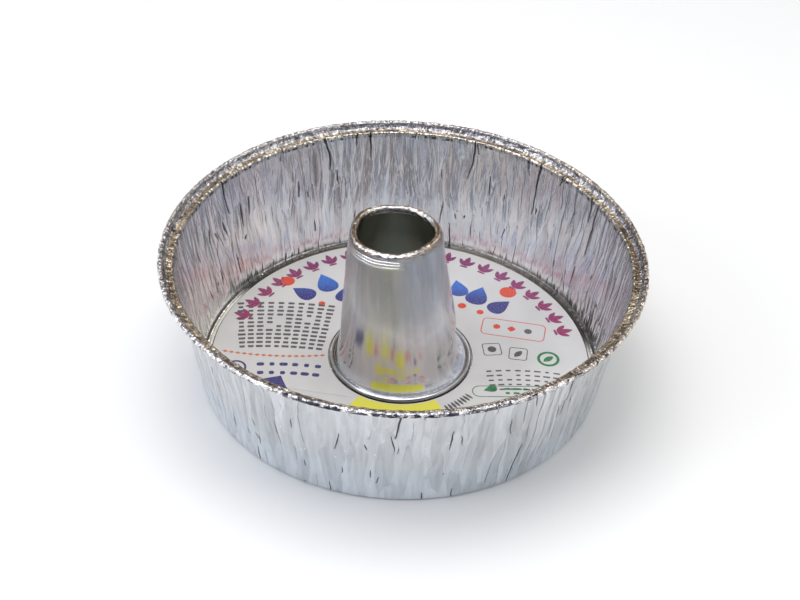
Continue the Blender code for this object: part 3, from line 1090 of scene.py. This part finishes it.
# one colour, or a near and a far one and where along the card one turns into the other
inkLooks = {
    "magenta": ((0.27, 0.012, 0.10), (0.20, 0.010, 0.11), 0.02, 0.09),
    "blue": ((0.018, 0.015, 0.17), (0.020, 0.13, 0.50), 0.046, 0.066),
    "navy": ((0.030, 0.024, 0.15),), "red": ((0.62, 0.045, 0.012),),
    "orange": ((0.58, 0.12, 0.05),), "yellow": ((0.72, 0.67, 0.055),),
    "green": ((0.006, 0.17, 0.045),), "dark": ((0.075, 0.065, 0.075),),
}
inkMaterials = {}


def inkMaterial(ink):
    # flat print with a faint mottle
    if ink not in inkMaterials:
        colour, *far = inkLooks[ink]
        material, book = newMaterial(ink + "Ink")
        spot = book.add("ShaderNodeTexCoord", output="Object")
        mottle = book.noise(spot.scaled(1100.0), detail=2.0, roughness=0.6)
        if far:
            colour = book.blend(book.ramp(spot.parts()[1], *far[1:]), colour, far[0])
        colour = book.blend(book.ramp(mottle, 0.45, 0.75) * 0.22, colour, (0.55, 0.54, 0.55))
        roughness = book.ramp(mottle, 0.3, 0.7, 0.30, 0.42)
        endMaterial(book, {"Base Color": colour, "Roughness": roughness,
                           "Normal": book.bump(mottle * 0.00001)})
        inkMaterials[ink] = material
    return inkMaterials[ink]


rowInputs = {"Int": ["Columns", "Rows", "Seed"], "Vector": ["Centre"],
             "Float": ["Radius", "Row Span", "Start", "Turn", "Least", "Kept"]}


def rowTree():
    # repeats a small motif along bowed rows
    book, wires, group = geometryTree("printRows", rowInputs)
    grid = book.add("GeometryNodeMeshGrid", None, {
        "Size X": 1.0, "Size Y": 1.0, "Vertices X": wires["Columns"], "Vertices Y": wires["Rows"]})
    across, down, _ = book.add("GeometryNodeInputPosition").parts()
    angle = wires["Start"] + wires["Turn"] * (across + 0.5)
    radius = wires["Radius"] - wires["Row Span"] * (down + 0.5)
    spot = book.vector(angle.calc("COSINE") * radius, angle.calc("SINE") * radius)
    placed = book.add("GeometryNodeSetPosition", None, {"Geometry": grid, "Position": spot})
    x, y, _ = book.add("GeometryNodeInputPosition").parts()
    turn = book.vector(z=y.calc("ARCTAN2", x) - math.pi / 2)
    random = "FunctionNodeRandomValue"
    length = book.add(random, None, {2: wires["Least"], 3: 1.0, "Seed": wires["Seed"]}, 1)
    chance = book.add(random, None, {2: 0.0, 3: 1.0, "Seed": wires["Seed"] + 7.0}, 1)
    copies = book.add("GeometryNodeInstanceOnPoints", None, {
        "Points": placed, "Selection": chance.calc("LESS_THAN", wires["Kept"]),
        "Instance": wires["Geometry"], "Rotation": turn, "Scale": book.vector(length, 1.0, 1.0)})
    moved = book.add("GeometryNodeTransform", None,
                     {"Geometry": copies, "Translation": wires["Centre"]})
    endTree(book, moved, wires["Material"])
    return group


# a generic kitchen pattern; rows are bowed about their own centre, sizes in millimetres
rowCommon = {"columns": 10, "rows": 1, "centre": (0, 0), "span": 0, "least": 1.0, "kept": 1.0}
tulip = [leaf(0, 0.6, 9.6, 3.6, 90), leaf(-2.7, -0.8, 7.2, 2.7, 124), leaf(2.7, -0.8, 7.2, 2.7, 56),
         softBox(0, -4.6, 4.6, 1.3, 0.5)]
printRows = [
    ("Tulips", "magenta", tulip, {"columns": 21, "radius": 92.0, "start": 162, "turn": -146}),
    ("DashesLeft", "dark", [softBox(0, 0, 4.3, 1.75, 0.45)],
     {"rows": 12, "centre": (-62, -160), "radius": 200, "span": 37, "start": 98, "turn": -14.5,
      "least": 0.55, "kept": 0.96}),
    ("DashesRight", "dark", [softBox(0, 0, 3.8, 1.1, 0.4)],
     {"columns": 8, "rows": 5, "centre": (66, -130), "radius": 121, "span": 14.5, "start": 99,
      "turn": -17, "least": 0.45, "kept": 0.9}),
    ("Diamonds", "orange", [leaf(0, 0, 3.2, 1.9, 0, 3)],
     {"columns": 16, "centre": (-66, 160), "radius": 165, "start": -99.5, "turn": 18.1}),
    ("NavyDashes", "navy", [softBox(0, 0, 4.6, 2.6, 1.2)],
     {"columns": 6, "rows": 2, "centre": (-59, -170), "radius": 158.5, "span": 6.8, "start": 95.2,
      "turn": -11.0, "least": 0.55, "kept": 0.95}),
    ("Pods", "dark", [leaf(0, 0, 5.6, 1.6, 90)],
     {"columns": 8, "radius": 47.5, "start": -58, "turn": 18, "least": 0.8}),
    ("GreenDashes", "green", [softBox(0, 0, 3.6, 1.5, 0.6)],
     {"columns": 5, "rows": 2, "centre": (66, -190), "radius": 166.5, "span": 3.2, "start": 93.3,
      "turn": -6.4, "least": 0.6}),
]


def hoop(shape, x, y, outer, inner, *turn):
    # a thin outline: two of the same shape, one inside the other
    return shape(x, y, *outer, *turn), shape(x, y, *inner, *turn)


# the name, the ink and the filled outlines, then any thin ones
printShapes = [
    ("Drops", "blue", [drop(*place) for place in (
        (-44, 60, 17, 12.5, 115), (-56, 50, 15, 11, 150), (-33.5, 50, 13, 9, 85),
        (31, 60, 15, 11, 100), (42, 54, 17, 13, 70), (54, 45, 15, 11, 40),
        (-66, -38, 15, 10, 208), (29, -67, 13, 9, 295), (-6, -90.5, 12, 8, 264))]),
    ("Berries", "red", [disc(*place) for place in (
        (-66, 60, 4.2), (59, 58, 4.8), (-45, 41, 1.9, 16), (33, 44, 2.4, 16), (43, 39, 2.0, 16),
        (-41, -64, 5.5), (-11.5, -77.5, 5.0), (18.5, -76, 4.2), (45, -64, 4.5))]),
    ("Frame", "red", [disc(52, 27, 2.0, 16), softBox(60, 25.4, 3.6, 3.6, 0.8, 35)],
     hoop(softBox, 61, 25, (35, 14.5, 3.0), (34, 13.5, 2.5), -9)),
    ("Tiles", "dark",
     [disc(49, 7.5, 2.4, 16), leaf(63, 4.6, 6.6, 3.4, 50), disc(69, 23.8, 2.1, 16)],
     hoop(softBox, 49, 7.5, (10, 10, 1.6), (9, 9, 1.2), 8),
     hoop(softBox, 63, 4.6, (10, 10, 1.6), (9, 9, 1.2), -6)),
    ("GreenMarks", "green", [leaf(79, 1.5, 7.0, 3.4, 38), drop(47.5, -24.5, 7.5, 5.0, 200)],
     hoop(disc, 79, 1.5, (6.0,), (4.5,)),
     hoop(softBox, 60, -25.5, (44, 8.6, 4.2), (43, 7.6, 3.7), 3)),
    ("NavyMarks", "navy",
     [drop(-86, -15.5, 6.4, 4.8, 60), arcBand(65, 76, 198.5, 13.5, 13, 4, 1.0)],
     hoop(disc, -86, -15.5, (5.6,), (4.4,))),
    ("Sun", "yellow", [arcBand(39.2, 60.0, 239, 60, 57, 8, 2.4), disc(-54, -53, 11.0),
                       disc(-27, -76, 9.5), disc(4, -74, 9.0)]),
]


def makePrint(rows, shapes):
    tree = rowTree()
    for seed, (name, ink, motif, row) in enumerate(rows):
        row = {**rowCommon, **row}
        piece = inkPlate("print" + name, motif)
        centreX, centreY = row["centre"]
        runTree(piece, tree, {
            "Columns": row["columns"], "Rows": row["rows"],
            "Centre": (centreX / 1000, centreY / 1000, 0.0),
            "Radius": row["radius"] / 1000, "Row Span": row["span"] / 1000,
            "Start": math.radians(row["start"]), "Turn": math.radians(row["turn"]),
            "Least": row["least"], "Kept": row["kept"], "Seed": seed + 3,
            "Material": inkMaterial(ink)})
        placePrint(piece)
    for name, ink, outlines, *rings in shapes:
        piece = inkPlate("print" + name, outlines, rings)
        piece.data.materials.append(inkMaterial(ink))
        placePrint(piece)
    print("printing laid:", len(rows) + len(shapes), "pieces")


def placePrint(piece):
    layOnCard(piece)
    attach(piece, "card")


makePrint(printRows, printShapes)
